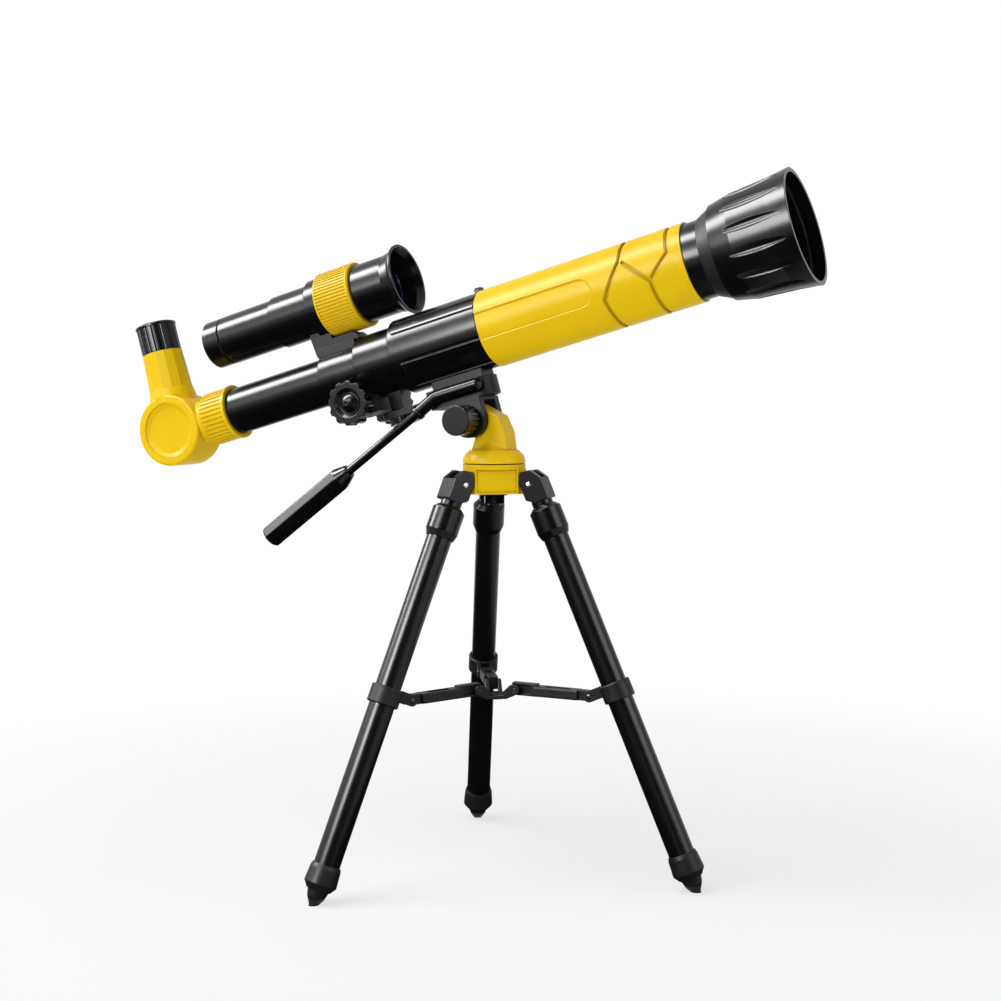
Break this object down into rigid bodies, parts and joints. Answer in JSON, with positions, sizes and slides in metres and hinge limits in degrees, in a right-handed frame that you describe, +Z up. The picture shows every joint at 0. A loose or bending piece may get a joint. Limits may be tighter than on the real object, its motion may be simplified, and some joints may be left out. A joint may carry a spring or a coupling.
{
  "type": "telescope on tripod",
  "caption": "Small refractor telescope with flared hood, finder, rack focuser and star diagonal on a tilting pan head over a folding table tripod with a spreader.",
  "frame": {"origin": "on the ground under the pan axis of the open tripod", "axes": "+X along the telescope's heading seen from above, +Z up, +Y to the left of the heading; the optical axis rises 15.44 degrees above +X"},
  "size_m": [0.4642, 0.2358, 0.4218],
  "materials": {
    "yellow_plastic": "satin moulded yellow",
    "black_plastic": "glossy moulded black",
    "grey_black_plastic": "matte moulded dark grey",
    "black_tube": "black anodised tube",
    "black_rubber": "soft black rubber",
    "steel": "plain bright steel",
    "dark_steel": "blackened steel",
    "lens_glass": "clear glass",
    "mirror": "silvered glass"
  },
  "bodies": {
    "hub": {"tripod_hub": "yellow_plastic", "leg_pivot_pins": "steel"},
    "leg_front": {"leg_bracket_front": "black_plastic", "leg_tube_front": "black_tube", "leg_collar_front": "grey_black_plastic", "foot_cap_front": "black_rubber", "collar_pin_front": "dark_steel"},
    "leg_left": {"leg_bracket_left": "black_plastic", "leg_tube_left": "black_tube", "leg_collar_left": "grey_black_plastic", "foot_cap_left": "black_rubber", "collar_pin_left": "dark_steel"},
    "leg_right": {"leg_bracket_right": "black_plastic", "leg_tube_right": "black_tube", "leg_collar_right": "grey_black_plastic", "foot_cap_right": "black_rubber", "collar_pin_right": "dark_steel"},
    "arm_front": {"spreader_arm_front": "grey_black_plastic"},
    "arm_left": {"spreader_arm_left": "grey_black_plastic"},
    "arm_right": {"spreader_arm_right": "grey_black_plastic"},
    "spreader": {"spreader_hub": "grey_black_plastic", "spreader_hub_pins": "dark_steel"},
    "pan_head": {"pan_head": "yellow_plastic", "pan_bolt": "dark_steel", "pan_nut": "black_plastic"},
    "telescope": {"tilt_clevis": "grey_black_plastic", "tilt_nut": "steel", "platform_plate": "grey_black_plastic", "saddle_pad": "black_rubber", "handle_socket": "black_plastic", "handle_rod": "black_tube", "handle_grip": "black_plastic", "main_body": "black_plastic", "objective_tube": "yellow_plastic", "front_ring": "black_plastic", "objective_lens": "lens_glass", "lens_retainer": "black_plastic", "hood_collar": "grey_black_plastic", "hood": "black_plastic", "pinion_cover": "grey_black_plastic", "finder_body": "black_plastic", "finder_eyecup": "black_plastic", "finder_eye_lens": "lens_glass", "finder_bracket": "grey_black_plastic"},
    "tilt_lock": {"tilt_knob": "black_plastic", "tilt_bolt": "steel"},
    "mount_screw": {"mount_screw": "black_plastic"},
    "drawtube": {"drawtube": "black_plastic", "focus_rack": "black_plastic"},
    "focus_pinion": {"focus_pinion": "steel", "focus_knobs": "black_plastic"},
    "diagonal": {"diagonal_collar": "yellow_plastic", "diagonal_housing": "yellow_plastic", "diagonal_covers": "yellow_plastic", "diagonal_mirror": "mirror"},
    "eyepiece": {"eyepiece_body": "black_plastic", "eyepiece_lens": "lens_glass"},
    "finder_ring": {"finder_ring": "yellow_plastic"},
    "finder_front": {"finder_front_tube": "black_plastic", "finder_front_lens": "lens_glass"}
  },
  "joints": [
    {"name": "leg_fold_front", "type": "hinge", "parent": "hub", "child": "leg_front", "pos_m": [0.0255, 0, 0.24], "axis": [0, 1, 0], "range_deg": [0, 15]},
    {"name": "leg_fold_left", "type": "hinge", "parent": "hub", "child": "leg_left", "pos_m": [-0.01275, 0.02208, 0.24], "axis": [-0.866, -0.5, 0], "range_deg": [0, 15]},
    {"name": "leg_fold_right", "type": "hinge", "parent": "hub", "child": "leg_right", "pos_m": [-0.01275, -0.02208, 0.24], "axis": [0.866, -0.5, 0], "range_deg": [0, 15]},
    {"name": "arm_fold_front", "type": "hinge", "parent": "leg_front", "child": "arm_front", "pos_m": [0.064, 0, 0.11276], "axis": [0, 1, 0], "range_deg": [0, 56.66]},
    {"name": "arm_fold_left", "type": "hinge", "parent": "leg_left", "child": "arm_left", "pos_m": [-0.032, 0.05543, 0.11276], "axis": [-0.866, -0.5, 0], "range_deg": [0, 56.66]},
    {"name": "arm_fold_right", "type": "hinge", "parent": "leg_right", "child": "arm_right", "pos_m": [-0.032, -0.05543, 0.11276], "axis": [0.866, -0.5, 0], "range_deg": [0, 56.66]},
    {"name": "spreader_rise", "type": "slide", "parent": "hub", "child": "spreader", "axis": [0, 0, 1], "range_m": [0, 0.04041]},
    {"name": "pan", "type": "hinge", "parent": "hub", "child": "pan_head", "pos_m": [0, 0, 0.252], "axis": [0, 0, 1], "continuous": true},
    {"name": "tilt", "type": "hinge", "parent": "pan_head", "child": "telescope", "pos_m": [-0.011, 0, 0.279], "axis": [0, 1, 0], "range_deg": [-30, 30]},
    {"name": "tilt_lock_turn", "type": "hinge", "parent": "telescope", "child": "tilt_lock", "pos_m": [-0.011, 0, 0.279], "axis": [0, -1, 0], "range_deg": [0, 180]},
    {"name": "mount_screw_turn", "type": "hinge", "parent": "telescope", "child": "mount_screw", "pos_m": [-0.06182, 0, 0.28084], "axis": [0.2662, 0, -0.9639], "range_deg": [0, 180]},
    {"name": "focus_slide", "type": "slide", "parent": "telescope", "child": "drawtube", "axis": [0.9639, 0, 0.2662], "range_m": [-0.015, 0.018]},
    {"name": "focus_knob_turn", "type": "hinge", "parent": "telescope", "child": "focus_pinion", "pos_m": [-0.08499, 0, 0.28958], "axis": [0, 1, 0], "range_deg": [-215, 257.9]},
    {"name": "diagonal_turn", "type": "hinge", "parent": "drawtube", "child": "diagonal", "pos_m": [-0.1899, 0, 0.28255], "axis": [0.9639, 0, 0.2662], "continuous": true},
    {"name": "eyepiece_slide", "type": "slide", "parent": "diagonal", "child": "eyepiece", "axis": [-0.2662, 0, 0.9639], "range_m": [0, 0.018]},
    {"name": "finder_ring_turn", "type": "hinge", "parent": "telescope", "child": "finder_ring", "pos_m": [-0.11449, 0, 0.35131], "axis": [0.9639, 0, 0.2662], "range_deg": [0, 120]},
    {"name": "finder_front_slide", "type": "slide", "parent": "telescope", "child": "finder_front", "axis": [0.9639, 0, 0.2662], "range_m": [0, 0.00301]}
  ],
  "couplings": [
    {"joint": "leg_fold_left", "follows": "leg_fold_front", "ratio": 1},
    {"joint": "leg_fold_right", "follows": "leg_fold_front", "ratio": 1},
    {"joint": "arm_fold_front", "follows": "leg_fold_front", "ratio": 3.774},
    {"joint": "arm_fold_left", "follows": "leg_fold_front", "ratio": 3.774},
    {"joint": "arm_fold_right", "follows": "leg_fold_front", "ratio": 3.774},
    {"joint": "spreader_rise", "follows": "leg_fold_front", "m_per_rad": 0.15417},
    {"joint": "focus_knob_turn", "follows": "focus_slide", "rad_per_m": 250},
    {"joint": "finder_front_slide", "follows": "finder_ring_turn", "m_per_rad": 0.0014324}
  ]
}
